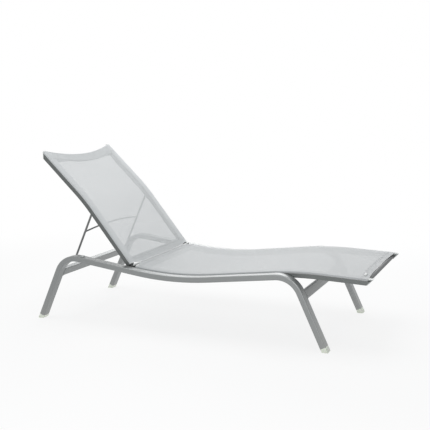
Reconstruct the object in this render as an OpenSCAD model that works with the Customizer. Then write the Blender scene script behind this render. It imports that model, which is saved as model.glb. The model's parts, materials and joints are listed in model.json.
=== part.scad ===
// Sun lounger with a sling seat and a reclining sling backrest.
// Two bent side tubes carry a seat of two grooved rails with cloth stretched between them.
// The backrest hinges on the seat rails and is propped by a rod bail.
// Millimetres, floor at zero height, head end towards minus X, foot end towards plus X.

/* [Side frames] */
// Width over the two side frames
overall_w = 730; // [640:1:800]
// Width of the flat side tube, across the lounger
tube_w = 48; // [42:1:54]
// Height of the side tube
tube_h = 27; // [25:1:31]
// Wall of the side tube
tube_wall = 2; // [1.5:0.1:2.5]
// Outer corner radius of the side tube
tube_corner = 4.5; // [3.5:0.1:6]
// Height of the corner point of the rear bend
rear_bend_h = 336; // [310:1:360]
// Run from the rear bend to the lowest point of the seat
rear_run = 606; // [570:1:640]
// Drop of the tube over that run
rear_drop = 78; // [65:1:90]
// Run from the lowest point to the front bend
front_run = 598; // [570:1:640]
// Rise of the tube over that run
front_rise = 73; // [60:1:85]
// Slope of the legs above the floor, in degrees
leg_slope = 65.3; // [60:0.1:72]
// Radius of the bends into the legs, on the middle of the tube
leg_bend_r = 111.5; // [90:0.5:125]
// Radius of the sag of the side tube, on the middle of the tube
sag_r = 1503; // [1200:1:1800]
// Height of the metal end of each leg above the floor
leg_end_h = 19; // [16:0.5:26]

/* [Cross bars] */
// Width of a cross bar, along the leg
bar_w = 42; // [34:1:50]
// Thickness of a cross bar
bar_t = 24; // [18:1:25]
// Wall of a cross bar
bar_wall = 1.8; // [1.2:0.1:2.4]
// Corner radius of a cross bar
bar_corner = 5; // [3:0.5:6]
// Height of the middle of the rear cross bar
rear_bar_h = 247; // [235:1:252]
// Height of the middle of the front cross bar
front_bar_h = 240; // [230:1:246]

/* [Sling rails] */
// Width of a sling rail
rail_w = 34; // [32:0.5:38]
// Height of a sling rail
rail_h = 28; // [27:0.5:32]
// Wall of a sling rail
rail_wall = 2; // [1.5:0.1:2.4]
// Gap between a rail and the side tube
rail_gap = 1; // [0.8:0.1:2]
// Height of the seat rail above the top of the side tube
rail_proud = 5; // [4:0.5:7]
// Radius of the top corners of a rail
rail_top_r = 5; // [4:0.1:6]
// Radius of the bottom corners of a rail
rail_low_r = 2; // [1:0.1:3]
// Diameter of the round channel for the sling's edge cord
channel_d = 7.4; // [6.8:0.1:7.8]
// Height of the slot that opens the channel to the outside
slot_h = 3; // [2.6:0.1:3.2]
// Number of fine lines along the outer face
line_count = 4; // [0:1:5]
// Run of the hinge from the rear bend
hinge_run = 363; // [350:1:380]
// Length of the seat rail from its lowest corner point to the foot bend
foot_bend_len = 594; // [580:1:620]
// Length of the rail from the foot bend to the foot end
foot_len = 345; // [320:1:380]
// Slope of the foot end below level, in degrees
foot_slope = 2.3; // [1:0.1:5]
// Radius of the foot bend
foot_bend_r = 1600; // [1300:1:1800]
// Thickness of the end caps
cap_t = 3; // [2:0.1:4]

/* [Backrest] */
// Slope of the lower backrest above level, in degrees
back_slope = 51.3; // [48:0.1:53]
// Length of the backrest from the hinge to its bend
back_low = 409; // [400:1:420]
// Angle of the bend, in degrees
back_bend = 7.7; // [6:0.1:9]
// Length of the backrest above its bend
back_up = 328; // [315:1:345]
// Radius of the bend
back_bend_r = 900; // [850:1:950]

/* [Hinge] */
// Diameter of the hinge bolt
bolt_d = 8; // [7:0.1:8.5]
// Radius of the hinge eye and of the fork
eye_r = 13; // [11.5:0.1:13.2]
// Width of the hinge eye
eye_w = 16; // [14:0.5:17]
// Thickness of each fork cheek
cheek_t = 7.6; // [6.5:0.1:7.8]
// Free radius of the bolt in its bores
bolt_play = 0.05; // [0.03:0.01:0.08]

/* [Bail] */
// Diameter of the bail rod
bail_d = 10.5; // [9:0.1:11]
// Diameter of the bail's cross rod
cross_rod_d = 8; // [6:0.1:9]
// Distance of the bail's legs in from the inner faces of the side tubes
bail_inset = 51; // [49.5:0.1:52]
// Run of the bail's pivot from the rear bend
bail_run = 8.2; // [5:0.1:12]
// Drop of the bail's pivot below the corner point of the rear bend
bail_drop = 26.5; // [24:0.1:29]
// Place of the bail's top end along the backrest, from the hinge
bail_reach = 364; // [360:1:370]
// Distance of the bail's top end behind the middle of the back rail
bail_back = 8; // [7:0.1:9]
// Place of the cross rod along the bail's legs
cross_rod_at = 154; // [130:1:180]
// Rise of the arched cross rod
cross_rod_rise = 20; // [10:1:30]

/* [Racks] */
// Number of notches in each rack
notch_count = 5; // [4:1:5]
// Distance between two notches
notch_pitch = 70; // [66:1:70]
// Width of a notch
notch_w = 12; // [11.5:0.1:14]
// Thickness of a rack
rack_t = 8; // [7:0.1:8.2]

/* [Slings] */
// Thickness of the cloth
sling_t = 0.9; // [0.7:0.05:1]
// Sag of the cloth across the rails, at the middle of its length
sling_sag = 8; // [5:0.1:9]
// Sag of the cloth at its end edges
sling_end_sag = 4; // [3:0.1:4.5]
// Depth of the curve in the foot edge of the seat sling
foot_curve = 33; // [20:1:36]
// Depth of the curve in the hinge edge of the seat sling
hinge_curve = 6; // [4:1:10]
// Depth of the curve in the top edge of the back sling
top_curve = 27; // [15:1:32]
// Depth of the curve in the bottom edge of the back sling
bottom_curve = 14; // [8:1:16]
// Diameter of the edge cord
keder_d = 6; // [5.4:0.1:6.2]

/* [Spreaders] */
// Diameter of a spreader tube
spreader_d = 20; // [17:0.5:20]
// Wall of a spreader tube
spreader_wall = 1.5; // [1.2:0.1:2]
// Drop of the spreaders below the middle of the rail
spreader_drop = 4; // [3.6:0.1:4.6]

/* [Hidden] */

// Fineness of round pieces and of the long shallow bends
round_fn = 48;
bend_fn = 240;
long_fn = 1440;

// Side sizes, measured out from the middle of the lounger
tube_out = overall_w / 2;
tube_in = tube_out - tube_w;
tube_mid = (tube_in + tube_out) / 2;
rail_out = tube_in - rail_gap;
rail_in = rail_out - rail_w;
rail_mid = (rail_in + rail_out) / 2;
bail_y = tube_in - bail_inset;

// One length that passes through everything, for cuts
reach = 8 * overall_w;
// Overrun of a cut past a face
over = tube_wall;
// Turn by which a bend is made too long before its end is cut square
spare_turn = 3;

// Unit vectors and turns in the side plane
function dir(a) = [cos(a), sin(a)];
function up(a) = [-sin(a), cos(a)];
function wrap(a) = a > 180 ? a - 360 : (a < -180 ? a + 360 : a);
function seg_a(p, i) = atan2(p[i + 1].y - p[i].y, p[i + 1].x - p[i].x);
function turn(p, i) = wrap(seg_a(p, i) - seg_a(p, i - 1));
function is_end(p, i) = i == 0 || i == len(p) - 1;
function tangent(p, r, i) = is_end(p, i) ? 0 : r[i] * tan(abs(turn(p, i)) / 2);
function straight(p, r, i) = norm(p[i + 1] - p[i]) - tangent(p, r, i) - tangent(p, r, i + 1);
function arc_len(p, r, i) = PI * r[i] * abs(turn(p, i)) / 180;
function path_len(p, r, i = 0) =
    i == len(p) - 2 ? straight(p, r, i)
    : straight(p, r, i) + arc_len(p, r, i + 1) + path_len(p, r, i + 1);
// Point and heading at a length along a path
function on_arc(q, a, r, side, s) =
    let (b = a + side * s / r * 180 / PI, c = q + side * r * up(a), e = c - side * r * up(b))
    [e.x, e.y, b];
function path_at(p, r, s, i = 0) =
    let (a = seg_a(p, i), l = straight(p, r, i), q = p[i] + dir(a) * tangent(p, r, i))
    (s <= l || i == len(p) - 2) ? [q.x + s * cos(a), q.y + s * sin(a), a]
    : s <= l + arc_len(p, r, i + 1)
        ? on_arc(q + dir(a) * l, a, r[i + 1], sign(turn(p, i + 1)), s - l)
        : path_at(p, r, s - l - arc_len(p, r, i + 1), i + 1);
// Corner point of a path that runs beside another at a distance
function beside(p, i, d) =
    let (m = up(seg_a(p, i - 1)), n = up(seg_a(p, i)))
    p[i] + d * (m + n) / (1 + m * n);

// Every turn is moved by a hair to the nearest one whose cosine and sine are exact
// to six figures, so that the ends of neighbouring stretches fall on each other
neat_tries = 8000;
neat_step = 0.00005;
neat_slip = 0.0000000002;
function six(v) = let (f = pow(10, 6 - ceil(log(abs(v))))) round(v * f) / f;
function slip(t) = abs(pow(six(cos(t)), 2) + pow(six(sin(t)), 2) - 1);
function neat(t) =
    let (found = [for (k = [0:1:neat_tries], side = [1, -1])
        let (a = t + side * k * neat_step) if (slip(a) < neat_slip) a])
    len(found) > 0 ? found[0] : t;

// Side tube, along its middle, from the rear leg to the front leg
rear_run_a = -atan2(rear_drop, rear_run);
rear_leg_a = rear_run_a + neat(leg_slope - rear_run_a);
front_run_a = rear_run_a + neat(atan2(front_rise, front_run) - rear_run_a);
front_leg_a = front_run_a - neat(leg_slope + front_run_a);
rear_corner = [0, rear_bend_h];
sag_corner = [rear_run, rear_bend_h - rear_drop];
front_corner = sag_corner + front_run / cos(front_run_a) * dir(front_run_a);
rear_leg = (rear_corner.y - leg_end_h) / sin(rear_leg_a);
front_leg = (front_corner.y - leg_end_h) / sin(-front_leg_a);
frame_path = [
    rear_corner - rear_leg * dir(rear_leg_a),
    rear_corner,
    sag_corner,
    front_corner,
    front_corner + front_leg * dir(front_leg_a)];
frame_r = [0, leg_bend_r, sag_r, leg_bend_r, 0];

// Seat rail, beside the side tube, from the hinge to the foot end
rail_lift = tube_h / 2 + rail_proud - rail_h / 2;
seat_a = seg_a(frame_path, 1);
seat_up = up(seat_a);
hinge_at = (hinge_run - rail_lift * seat_up.x) / cos(seat_a);
hinge = rear_corner + hinge_at * dir(seat_a) + rail_lift * seat_up;
seat_sag = beside(frame_path, 2, rail_lift);
foot_corner = seat_sag + foot_bend_len * dir(seg_a(frame_path, 2));
foot_a = front_run_a - neat(foot_slope + front_run_a);
foot_end = foot_corner + foot_len * dir(foot_a);
seat_path = [hinge, seat_sag, foot_corner, foot_end];
seat_r = [0, sag_r - rail_lift, foot_bend_r, 0];
seat_len = path_len(seat_path, seat_r);

// Back rail, from its top end down to the hinge
back_corner = hinge - back_low * dir(-back_slope);
back_a = neat(back_bend) - back_slope;
back_top = back_corner - back_up * dir(back_a);
back_path = [back_top, back_corner, hinge];
back_r = [0, back_bend_r, 0];
back_len = path_len(back_path, back_r);
function back_at(s) = path_at(back_path, back_r, back_len - s);
function seat_at(s) = path_at(seat_path, seat_r, s);

// The origin lies midway between the rear glides and the foot end
glide_back = -rear_bend_h / tan(rear_leg_a) - tube_h / 2 / sin(rear_leg_a);
mitre = 45;
tip_out = rail_h / 2 * dir(90 + foot_a) + rail_h / 2 * tan(mitre + foot_a) * dir(foot_a);
foot_tip = foot_end.x + tip_out.x;
origin_x = (foot_tip + glide_back) / 2;

// Rail section: lower chamber, upper chamber, round channel with its slot
web_t = rail_wall * 0.9;
channel_r = channel_d / 2;
channel_rise = rail_h / 2 - 3.5 * rail_wall;
channel_y = rail_out - 3.25 * rail_wall;
low_top = channel_rise - channel_r - web_t;
line_w = rail_wall * 0.4;
line_deep = rail_wall * 0.25;
line_pitch = rail_wall * 1.4;

// Rail ends at the hinge
seat_start = 1.7 * eye_r;
back_start = 1.25 * eye_r;
flange_t = 0.15 * eye_r;
plug_play = 0.2;
plug_len = 46;
plug_low = -rail_h / 2 + rail_wall + plug_play;
plug_high = low_top - plug_play;
plug_in = rail_in + rail_wall + plug_play;
plug_out = rail_out - rail_wall - plug_play;
cheek_gap = 0.4;
cheek_out = rail_mid + eye_w / 2 + cheek_gap;
cheek_in = rail_mid - eye_w / 2 - cheek_gap;
neck_h = 0.7 * eye_r;
bolt_head_d = 14;
bolt_head_t = 4.2;
nut_d = 14.6;
nut_t = 3.6;
nut_play = 0.1;

// Rail bolts with their spacers and rivet nuts
rail_bolt_d = 6;
rail_bolt_head_d = 12;
rail_bolt_head_t = 3.4;
rail_bolt_drop = spreader_drop;
rail_bolt_play = 0.1;
spacer_d = 14;
rivet_nut_d = 9.4;
rivet_nut_len = 11;
rail_bolt_len = rail_w + rail_gap + tube_wall + 4 * rail_wall;
rail_bolt_shares = [0.094, 0.36, 0.61];
rail_bolt_at = [for (k = rail_bolt_shares) k * seat_len];

// Spreaders, from the hinge along the seat and along the back
foot_spreader_at = seat_len - 1.05 * spreader_d;
hinge_spreader_at = seat_start + 0.85 * spreader_d;
top_spreader_at = back_len - 2.25 * spreader_d;
low_spreader_at = 2.25 * spreader_d;
spreader_half = rail_in;
spreader_plug_len = 25;
screw_d = 5;
screw_head_d = 9;
screw_head_t = rail_wall;
screw_in = 20;
screw_play = 0.1;

// Slings
cloth_gap = 0.3;
seat_cloth_start = seat_start + cap_t;
seat_cloth_end = seat_len - 12;
back_cloth_start = back_start + cap_t;
back_cloth_end = back_len - cap_t;

// Bail: pivot, top end, length and slope
bail_foot = rear_corner + [bail_run, -bail_drop];
bail_seat = back_at(bail_reach);
bail_top = [bail_seat.x, bail_seat.y] - bail_back * up(bail_seat.z);
bail_len = norm(bail_top - bail_foot);
bail_a = atan2(bail_top.y - bail_foot.y, bail_top.x - bail_foot.x);
bail_bend_r = 14;
bail_over = 5;
bail_tip = bail_inset + 7;
peg_d = 8;
rack_in = rail_in - rack_t;
peg_gap = 0.4;
bush_wall = 2;
bush_play = 0.05;
bush_flange_d = 20;
bush_flange_t = 1.2;
bush_len = tube_wall + 1.6;
sleeve_d = 15;
sleeve_gap = 0.3;
clip_d = 17;
clip_t = 1;

// Racks
rack_start = bail_reach - 24;
rack_end = bail_reach + (notch_count - 1) * notch_pitch + 20;
rack_low = -rail_h / 2 + 1;
rack_high = rail_h / 2 - 5;
rack_screw_d = 4;
rack_screw_head_d = 7.6;
rack_screw_head_t = 2.2;
rack_screw_rise = -3;

// Leg glides and bail stops
glide_plug_len = 24;
glide_play = 0.15;
stop_len = 18;
stop_w = 20;
stop_h = 5;
stop_at = 1.12 * tangent(frame_path, frame_r, 1);

echo(hinge = hinge - [origin_x, 0], bail_foot = bail_foot - [origin_x, 0], bail_a = bail_a);
echo(bail_top = bail_top - [origin_x, 0], bail_len = bail_len, origin_x = origin_x);
echo(seat_a = seat_a, seat_len = seat_len, back_len = back_len, foot_tip = foot_tip - origin_x);

// Side plane stood up on the near side, on the far side or on both
module stand() {
    translate([-origin_x, 0, 0])
        rotate([90, 0, 0]) children();
}
module far() {
    mirror([0, 1, 0]) children();
}
module pair() {
    children();
    far() children();
}
// A place on a path: x along it, y up from it, z out to the side
module at(q) {
    translate([q.x, q.y, 0])
        rotate([0, 0, q.z]) children();
}

// One straight stretch of a section, from a place and on
module run(p, a, l) {
    translate([p.x, p.y, 0])
        rotate([0, 0, a])
            rotate([90, 0, 90])
                linear_extrude(height = l) children();
}
// A section swept along a path: section x is up, section y is out.
// Each stretch is placed in the frame of the one before it, so that the ends meet.
module walk(p, r, i, k = 0) {
    if (k == i) {
        children();
    } else {
        t = turn(p, k + 1);
        c = sign(t) * r[k + 1];
        translate([straight(p, r, k), 0, 0])
            translate([0, c, 0])
                rotate([0, 0, t])
                    translate([0, -c, 0])
                        walk(p, r, i, k + 1) children();
    }
}
module bend(c, t) {
    mirror([0, t < 0 ? 1 : 0, 0])
        translate([0, c, 0])
            difference() {
                rotate([0, 0, -90])
                    rotate_extrude(angle = abs(t) + spare_turn,
                        $fn = c > 5 * leg_bend_r ? long_fn : bend_fn)
                        translate([c, 0, 0])
                            mirror([t > 0 ? 1 : 0, 0, 0]) children();
                rotate([0, 0, abs(t)])
                    translate([0, -reach / 2, -reach / 2]) cube([reach, reach, reach]);
            }
}
module sweep(p, r) {
    translate([p[0].x, p[0].y, 0])
        rotate([0, 0, seg_a(p, 0)])
            for (i = [0:len(p) - 2])
                walk(p, r, i) {
                    rotate([90, 0, 90])
                        linear_extrude(height = straight(p, r, i)) children();
                    if (i < len(p) - 2)
                        translate([straight(p, r, i), 0, 0])
                            bend(r[i + 1], turn(p, i + 1)) children();
                }
}
// Everything past a plane through a point, on the side that the angle looks to
module beyond(p, a) {
    translate([p.x, p.y, 0])
        rotate([0, 0, a])
            translate([0, -reach / 2, -reach / 2]) cube([reach, reach, reach]);
}

// Rectangle with round corners, x from a to b and y from c to d
module round_box(a, b, c, d, r) {
    translate([a + r, c]) square([b - a - 2 * r, d - c]);
    translate([a, c + r]) square([b - a, d - c - 2 * r]);
    for (x = [a + r, b - r])
        for (y = [c + r, d - r])
            translate([x, y]) circle(r = r, $fn = round_fn);
}
module span_box(a, b, c, d) {
    translate([a, c]) square([b - a, d - c]);
}
// A block from one corner to the other
module block(p, q) {
    translate(p) cube(q - p);
}
// A pin that lies across, between two distances from the middle
module pin(d, from, to, fn = round_fn) {
    translate([0, 0, from]) cylinder(h = to - from, d = d, $fn = fn);
}

module tube_outline(inset) {
    round_box(-tube_h / 2 + inset, tube_h / 2 - inset,
        tube_in + inset, tube_out - inset, tube_corner - min(inset, tube_corner / 2));
}
module tube_section() {
    difference() {
        tube_outline(0);
        tube_outline(tube_wall);
    }
}

module rail_outline() {
    h = rail_h / 2;
    span_box(-h + rail_low_r, h - rail_top_r, rail_in, rail_out);
    span_box(h - 2 * rail_top_r, h, rail_in + rail_top_r, rail_out - rail_top_r);
    span_box(-h, 0, rail_in + rail_low_r, rail_out - rail_low_r);
    for (y = [rail_in + rail_top_r, rail_out - rail_top_r])
        translate([h - rail_top_r, y]) circle(r = rail_top_r, $fn = round_fn);
    for (y = [rail_in + rail_low_r, rail_out - rail_low_r])
        translate([-h + rail_low_r, y]) circle(r = rail_low_r, $fn = round_fn);
}
module rail_section() {
    difference() {
        rail_outline();
        span_box(-rail_h / 2 + rail_wall, low_top, rail_in + rail_wall, rail_out - rail_wall);
        span_box(low_top + rail_wall, rail_h / 2 - rail_wall,
            rail_in + rail_wall + rail_top_r / 2, channel_y - channel_r - web_t);
        translate([channel_rise, channel_y]) circle(r = channel_r, $fn = round_fn);
        span_box(channel_rise - slot_h / 2, channel_rise + slot_h / 2, channel_y, rail_out + over);
        for (k = [1:1:line_count])
            translate([low_top - k * line_pitch, rail_out - line_deep])
                square([line_w, line_deep + over]);
    }
}

// Side tubes
module side_tube() {
    difference() {
        sweep(frame_path, frame_r) tube_section();
        translate([bail_foot.x, bail_foot.y, 0])
            pin(bail_d + 2 * (bush_play + bush_wall), tube_in - over, tube_in + tube_wall + over);
        for (s = rail_bolt_at)
            at(seat_at(s)) translate([0, -rail_bolt_drop, 0])
                pin(rivet_nut_d, tube_in - over, tube_in + tube_wall + over);
    }
}
module side_frame_right() {
    color("darkgray") stand() side_tube();
}
module side_frame_left() {
    color("darkgray") far() stand() side_tube();
}

// Cross bars, welded between the legs, flush with the legs' faces towards the foot end
module cross_bar(corner, a, h) {
    side = sign(a);
    s = (corner.y - h) / sin(abs(a));
    m = corner - side * s * dir(a);
    shift = -side * (tube_h - bar_t) / 2;
    stand()
        translate([m.x, m.y, 0])
            rotate([0, 0, a])
                translate([0, shift, -tube_in])
                    linear_extrude(height = 2 * tube_in)
                        difference() {
                            round_box(-bar_w / 2, bar_w / 2, -bar_t / 2, bar_t / 2, bar_corner);
                            round_box(-bar_w / 2 + bar_wall, bar_w / 2 - bar_wall,
                                -bar_t / 2 + bar_wall, bar_t / 2 - bar_wall,
                                bar_corner - bar_wall);
                        }
}
module rear_cross_bar() {
    color("darkgray") cross_bar(rear_corner, rear_leg_a, rear_bar_h);
}
module front_cross_bar() {
    color("darkgray") cross_bar(front_corner, front_leg_a, front_bar_h);
}

// Glides: a plug in the leg and a wedge cut off level at the floor
module glide(p, a) {
    difference() {
        translate([p.x, p.y, 0])
            rotate([0, 0, a])
                rotate([90, 0, 90]) {
                    translate([0, 0, -glide_plug_len])
                        linear_extrude(height = glide_plug_len + over)
                            tube_outline(tube_wall + glide_play);
                    linear_extrude(height = 3 * leg_end_h) tube_outline(0);
                }
        beyond([0, 0], -90);
    }
}
module leg_glides() {
    color("honeydew") pair() stand() {
        glide(frame_path[0], rear_leg_a + 180);
        glide(frame_path[4], front_leg_a);
    }
}

// Holes for the spreader screws, sunk for the screw heads
module spreader_hole(q) {
    at(q) translate([0, -spreader_drop, 0]) {
        pin(screw_d + 2 * screw_play, rail_in - over, rail_out);
        translate([0, 0, rail_out - screw_head_t])
            cylinder(h = screw_head_t, d1 = screw_d + 2 * screw_play, d2 = screw_head_d,
                $fn = round_fn);
        pin(screw_head_d, rail_out, rail_out + over);
    }
}

// Seat rails
module seat_rail() {
    difference() {
        sweep([seat_at(seat_start), seat_sag, foot_corner,
            foot_end + rail_h * dir(foot_a)], seat_r) rail_section();
        beyond(foot_end - cap_t * dir(-mitre), -mitre);
        spreader_hole(seat_at(foot_spreader_at));
        spreader_hole(seat_at(hinge_spreader_at));
        for (s = rail_bolt_at)
            at(seat_at(s)) translate([0, -rail_bolt_drop, 0])
                pin(rail_bolt_d + 2 * rail_bolt_play, rail_in - over, rail_out + over);
    }
}
module seat_rail_right() {
    color("lightgray") stand() seat_rail();
}
module seat_rail_left() {
    color("lightgray") far() stand() seat_rail();
}

// Caps on the mitred ends, each with a stub in the rail's lower chamber
module chamber_box() {
    span_box(plug_low, plug_high, plug_in, plug_out);
}
module end_cap(p, a, look) {
    intersection() {
        run(p - 2 * rail_h * dir(a), a, 4 * rail_h) rail_outline();
        difference() {
            beyond(p - cap_t * dir(look), look);
            beyond(p, look);
        }
    }
    difference() {
        run(p - 1.6 * rail_h * dir(a), a, 3 * rail_h) chamber_box();
        beyond(p - cap_t / 2 * dir(look), look);
    }
}
module seat_rail_end_caps() {
    color("gainsboro") pair() stand()
        difference() {
            end_cap(foot_end, foot_a, -mitre);
            at(seat_at(foot_spreader_at)) translate([0, -spreader_drop, 0])
                pin(screw_d + 2 * screw_play, rail_in, rail_out);
        }
}

// Bolts that hold each seat rail to its side tube
module seat_rail_bolts() {
    color("silver") pair() stand()
        for (s = rail_bolt_at)
            at(seat_at(s)) translate([0, -rail_bolt_drop, 0]) {
                pin(rail_bolt_head_d, rail_in - rail_bolt_head_t, rail_in);
                pin(rail_bolt_d, rail_in, rail_in + rail_bolt_len);
            }
}
module seat_rail_spacers() {
    color("black") pair() stand()
        for (s = rail_bolt_at)
            at(seat_at(s)) translate([0, -rail_bolt_drop, 0])
                difference() {
                    pin(spacer_d, rail_out, tube_in);
                    pin(rail_bolt_d + 2 * rail_bolt_play, rail_out - over, tube_in + over);
                }
}
module rivet_nuts() {
    color("silver") pair() stand()
        for (s = rail_bolt_at)
            at(seat_at(s)) translate([0, -rail_bolt_drop, 0])
                difference() {
                    pin(rivet_nut_d, tube_in, tube_in + rivet_nut_len);
                    pin(rail_bolt_d + 2 * bolt_play, tube_in - over,
                        tube_in + rivet_nut_len + over);
                }
}

// Spreader tubes between the rails, plugged and screwed at both ends
module spreader(q) {
    stand() at(q) translate([0, -spreader_drop, 0])
        difference() {
            pin(spreader_d, -spreader_half, spreader_half);
            pin(spreader_d - 2 * spreader_wall, -spreader_half - over, spreader_half + over);
        }
}
module spreader_plug(q) {
    pair() stand() at(q) translate([0, -spreader_drop, 0])
        difference() {
            pin(spreader_d - 2 * spreader_wall, spreader_half - spreader_plug_len,
                spreader_half);
            pin(screw_d, spreader_half - screw_in, spreader_half + over);
        }
}
module spreader_screw(q) {
    pair() stand() at(q) translate([0, -spreader_drop, 0]) {
        pin(screw_d, spreader_half - screw_in, rail_out - screw_head_t);
        translate([0, 0, rail_out - screw_head_t])
            cylinder(h = screw_head_t, d1 = screw_d, d2 = screw_head_d - 2 * screw_play,
                $fn = round_fn);
    }
}
module foot_spreader() {
    color("lightgray") spreader(seat_at(foot_spreader_at));
}
module hinge_spreader() {
    color("lightgray") spreader(seat_at(hinge_spreader_at));
}
module seat_spreader_plugs() {
    color("black") {
        spreader_plug(seat_at(foot_spreader_at));
        spreader_plug(seat_at(hinge_spreader_at));
    }
}
module seat_spreader_screws() {
    color("silver") {
        spreader_screw(seat_at(foot_spreader_at));
        spreader_screw(seat_at(hinge_spreader_at));
    }
}

// Cloth: one closed sheet that wraps both rails and sags a little between them.
// Its section runs from the slot of one rail over both rails to the slot of the other.
lip = channel_rise + slot_h / 2 - cloth_gap;
rail_crest = rail_h / 2 - rail_top_r;
wrap_r = rail_top_r + cloth_gap;
wrap_y = rail_out - rail_top_r;
lie_y = rail_in + rail_top_r;
cloth_steps = 24;
function wrap_points(t) = [
    [channel_y + keder_d / 2 + cloth_gap, lip - t, 0],
    [rail_out + cloth_gap + t, lip - t, 0],
    [wrap_y + (wrap_r + t) * cos(30), rail_crest + (wrap_r + t) * sin(30), 0],
    [wrap_y + (wrap_r + t) * cos(60), rail_crest + (wrap_r + t) * sin(60), 0],
    [wrap_y, rail_crest + wrap_r + t, 0]];
span_shares = [1, 0.82, 0.6, 0.34];
function span_points(t) = [
    for (k = span_shares) [k * lie_y, rail_crest + wrap_r + t, 1 - k * k]];
function half_points(t) = concat(wrap_points(t), span_points(t));
function mirrored(v) = [for (i = [len(v) - 1:-1:0]) [-v[i].x, v[i].y, v[i].z]];
function whole_points(t) =
    concat(half_points(t), [[0, rail_crest + wrap_r + t, 1]], mirrored(half_points(t)));
// Sag along the cloth: least at its ends, most at the middle of its length
function sag(k) = sling_end_sag + (sling_sag - sling_end_sag) * sin(180 * k);
function cloth_point(q, w, g) =
    [q.x - (w.y - g * w.z) * sin(q.z), w.x, q.y + (w.y - g * w.z) * cos(q.z)];
module cloth(s0, s1, d0, d1, on_back) {
    low = whole_points(0);
    high = whole_points(sling_t);
    m = len(low);
    n = cloth_steps;
    grid = [for (side = [low, high]) for (i = [0:n]) for (j = [0:m - 1])
        let (k = i / n, w = side[j],
            a = s0 + d0 * low[j].z, b = s1 - d1 * low[j].z, s = a + k * (b - a),
            q = on_back ? back_at(s) : seat_at(s))
        cloth_point(q, w, sag(k))];
    f = (n + 1) * m;
    turned = on_back ? 1 : 0;
    faces = concat(
        [for (i = [0:n - 1]) for (j = [0:m - 2]) each
            [[i * m + j, i * m + j + 1, (i + 1) * m + j + 1],
            [i * m + j, (i + 1) * m + j + 1, (i + 1) * m + j]]],
        [for (i = [0:n - 1]) for (j = [0:m - 2]) each
            [[f + i * m + j, f + (i + 1) * m + j + 1, f + i * m + j + 1],
            [f + i * m + j, f + (i + 1) * m + j, f + (i + 1) * m + j + 1]]],
        [for (j = [0:m - 2]) each
            [[j, f + j, f + j + 1], [j, f + j + 1, j + 1]]],
        [for (j = [0:m - 2]) each
            [[n * m + j, f + n * m + j + 1, f + n * m + j], [n * m + j, n * m + j + 1, f + n * m + j + 1]]],
        [for (i = [0:n - 1]) each
            [[i * m, f + (i + 1) * m, f + i * m], [i * m, (i + 1) * m, f + (i + 1) * m]]],
        [for (i = [0:n - 1]) each
            [[i * m + m - 1, f + i * m + m - 1, f + (i + 1) * m + m - 1],
            [i * m + m - 1, f + (i + 1) * m + m - 1, (i + 1) * m + m - 1]]]);
    flip = [for (t = faces) [t[2], t[1], t[0]]];
    translate([-origin_x, 0, 0])
        polyhedron(points = grid, faces = turned == 1 ? faces : flip);
}
module seat_sling() {
    color("gainsboro")
        cloth(seat_cloth_start, seat_cloth_end, hinge_curve, foot_curve, false);
}
module back_sling() {
    color("gainsboro")
        cloth(back_cloth_start, back_cloth_end, bottom_curve, top_curve, true);
}

// Edge cords that hold the cloth in the rails' channels
module cord_section() {
    translate([channel_rise, channel_y]) circle(d = keder_d, $fn = round_fn);
}
module seat_edge_cords() {
    color("white") pair() stand()
        sweep([seat_at(seat_cloth_start), seat_sag, foot_corner, seat_at(seat_cloth_end)],
            seat_r) cord_section();
}
module back_edge_cords() {
    color("white") pair() stand()
        sweep([back_at(back_cloth_end), back_corner, back_at(back_cloth_start)],
            back_r) cord_section();
}

// Hinge knuckles: a plug in the seat rail with an eye on the hinge axis
module seat_hinge_knuckles() {
    color("black") pair() stand()
        at([hinge.x, hinge.y, seat_a])
            difference() {
                union() {
                    block([seat_start, plug_low, plug_in],
                        [seat_start + plug_len, plug_high, plug_out]);
                    block([seat_start - flange_t, -rail_h / 2, rail_in],
                        [seat_start, rail_h / 2 - rail_top_r, rail_out]);
                    block([0, -neck_h, rail_mid - eye_w / 2],
                        [seat_start - flange_t, neck_h, rail_mid + eye_w / 2]);
                    pin(2 * eye_r, rail_mid - eye_w / 2, rail_mid + eye_w / 2);
                }
                pin(bolt_d + 2 * bolt_play, rail_in, rail_out);
                translate([hinge_spreader_at, -spreader_drop, 0])
                    pin(screw_d + 2 * screw_play, rail_in, rail_out);
            }
}

// Bushes in the side tubes for the bail, and the small stops on top of the tubes
module bail_bushes() {
    color("black") pair() stand() translate([bail_foot.x, bail_foot.y, 0])
        difference() {
            union() {
                pin(bush_flange_d, tube_in - bush_flange_t, tube_in);
                pin(bail_d + 2 * (bush_play + bush_wall), tube_in, tube_in + bush_len);
            }
            pin(bail_d + 2 * bush_play, tube_in - bush_flange_t - over,
                tube_in + bush_len + over);
        }
}
module bail_stops() {
    color("gray") pair() stand()
        at([rear_corner.x + stop_at * cos(seat_a), rear_corner.y + stop_at * sin(seat_a), seat_a])
            translate([0, tube_h / 2, tube_mid - stop_w / 2])
                linear_extrude(height = stop_w)
                    difference() {
                        square([stop_len, stop_h]);
                        translate([stop_len, stop_h]) circle(r = stop_h / 2, $fn = round_fn);
                        translate([0, stop_h]) circle(r = stop_h / 2, $fn = round_fn);
                    }
}

// Back rails
module back_rail() {
    difference() {
        sweep([back_top - rail_h * dir(back_a), back_corner,
            back_at(back_start)], back_r) rail_section();
        beyond(back_top + cap_t * dir(0), 180);
        spreader_hole(back_at(top_spreader_at));
        spreader_hole(back_at(low_spreader_at));
        for (k = [0:notch_count - 2])
            at(back_at(bail_reach + (k + 0.5) * notch_pitch))
                translate([0, rack_screw_rise, 0])
                    pin(rack_screw_d, rail_in - over, rail_in + rail_wall + over);
    }
}
module back_rail_right() {
    color("lightgray") stand() back_rail();
}
module back_rail_left() {
    color("lightgray") far() stand() back_rail();
}
module back_rail_end_caps() {
    color("gainsboro") pair() stand()
        end_cap(back_top, back_a, 180);
}

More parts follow.
